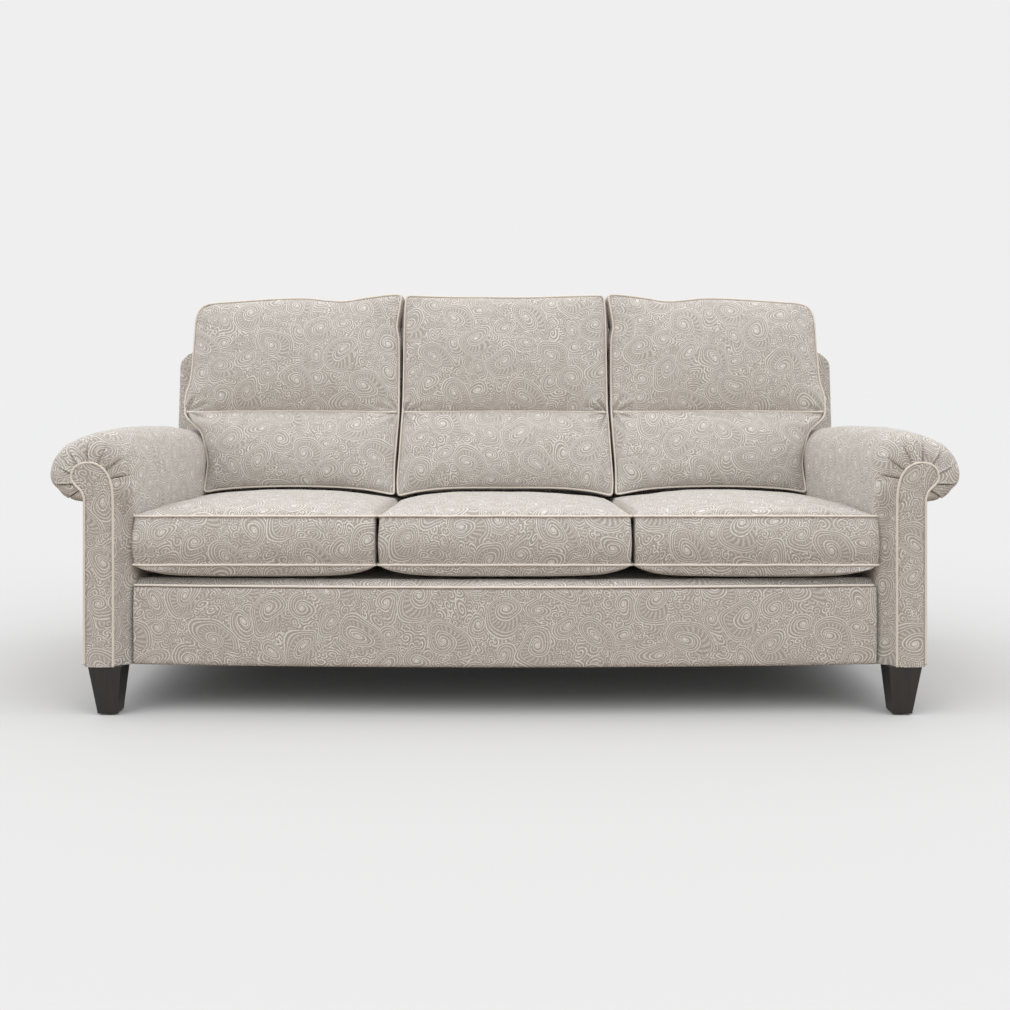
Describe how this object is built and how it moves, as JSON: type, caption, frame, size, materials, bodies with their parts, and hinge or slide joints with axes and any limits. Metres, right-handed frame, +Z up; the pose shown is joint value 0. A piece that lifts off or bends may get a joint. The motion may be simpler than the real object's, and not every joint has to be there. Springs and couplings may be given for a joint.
{
  "type": "high back sofa",
  "caption": "Three-seater scroll-arm sofa with a high back, loose seat and back cushions, piped edges and tapered square legs.",
  "frame": {"origin": "on the floor, in the middle of the sofa's width and depth", "axes": "+X to the right as seen from the front, +Y from front to back, +Z up; the front faces -Y"},
  "size_m": [2.15, 0.9176, 1.0368],
  "materials": {
    "upholstery_fabric": "woven scroll pattern, matt",
    "piping": "plain weave cord cover",
    "cushion_filling": "foam and fibre in a cotton case",
    "padding": "felt and wadding",
    "dust_cloth": "black lining cloth",
    "webbing": "woven elastic",
    "leg_wood": "dark stain, satin lacquer",
    "frame_wood": "planed beech",
    "steel": "bright",
    "glide": "moulded nylon"
  },
  "bodies": {
    "frame": {"arm_cover_left": "upholstery_fabric", "arm_cover_right": "upholstery_fabric", "arm_facing_left": "upholstery_fabric", "arm_facing_piping_left": "piping", "arm_facing_piping_right": "piping", "arm_facing_right": "upholstery_fabric", "arm_front_posts": "frame_wood", "arm_pad_left": "padding", "arm_pad_right": "padding", "arm_tacking_rails": "frame_wood", "arm_top_rails": "frame_wood", "back_centre_posts": "frame_wood", "back_cover": "upholstery_fabric", "back_posts": "frame_wood", "back_tacking_rail": "frame_wood", "back_top_rail": "frame_wood", "back_webbing": "webbing", "corner_blocks": "frame_wood", "cross_rails": "frame_wood", "dust_cover": "dust_cloth", "frame_dowels": "frame_wood", "front_border": "upholstery_fabric", "front_border_piping": "piping", "front_leg_left": "leg_wood", "front_leg_right": "leg_wood", "front_rail": "frame_wood", "inside_back_pad": "padding", "leg_bolts": "steel", "leg_glides": "glide", "outside_arm_panel_left": "upholstery_fabric", "outside_arm_panel_right": "upholstery_fabric", "outside_back_panel": "upholstery_fabric", "rear_leg_left": "leg_wood", "rear_leg_right": "leg_wood", "rear_rail": "frame_wood", "seat_insulator": "padding", "seat_platform": "upholstery_fabric", "seat_springs": "steel", "side_rails": "frame_wood", "spring_clips": "steel"},
    "seat_cushion_left": {"seat_cushion_left_cover": "upholstery_fabric", "seat_cushion_left_fill": "cushion_filling", "seat_cushion_left_piping": "piping"},
    "back_cushion_left": {"back_cushion_left_cover": "upholstery_fabric", "back_cushion_left_fill": "cushion_filling", "back_cushion_left_piping": "piping"},
    "seat_cushion_centre": {"seat_cushion_centre_cover": "upholstery_fabric", "seat_cushion_centre_fill": "cushion_filling", "seat_cushion_centre_piping": "piping"},
    "back_cushion_centre": {"back_cushion_centre_cover": "upholstery_fabric", "back_cushion_centre_fill": "cushion_filling", "back_cushion_centre_piping": "piping"},
    "seat_cushion_right": {"seat_cushion_right_cover": "upholstery_fabric", "seat_cushion_right_fill": "cushion_filling", "seat_cushion_right_piping": "piping"},
    "back_cushion_right": {"back_cushion_right_cover": "upholstery_fabric", "back_cushion_right_fill": "cushion_filling", "back_cushion_right_piping": "piping"}
  },
  "joints": [
    {"name": "seat_left_out", "type": "slide", "parent": "frame", "child": "seat_cushion_left", "axis": [0, -0.999, 0.0436], "range_m": [0, 0.78]},
    {"name": "back_left_lift", "type": "slide", "parent": "frame", "child": "back_cushion_left", "axis": [0, 0.1045, 0.9945], "range_m": [0, 0.62]},
    {"name": "seat_centre_out", "type": "slide", "parent": "frame", "child": "seat_cushion_centre", "axis": [0, -0.999, 0.0436], "range_m": [0, 0.78]},
    {"name": "back_centre_lift", "type": "slide", "parent": "frame", "child": "back_cushion_centre", "axis": [0, 0.1045, 0.9945], "range_m": [0, 0.62]},
    {"name": "seat_right_out", "type": "slide", "parent": "frame", "child": "seat_cushion_right", "axis": [0, -0.999, 0.0436], "range_m": [0, 0.78]},
    {"name": "back_right_lift", "type": "slide", "parent": "frame", "child": "back_cushion_right", "axis": [0, 0.1045, 0.9945], "range_m": [0, 0.62]}
  ]
}
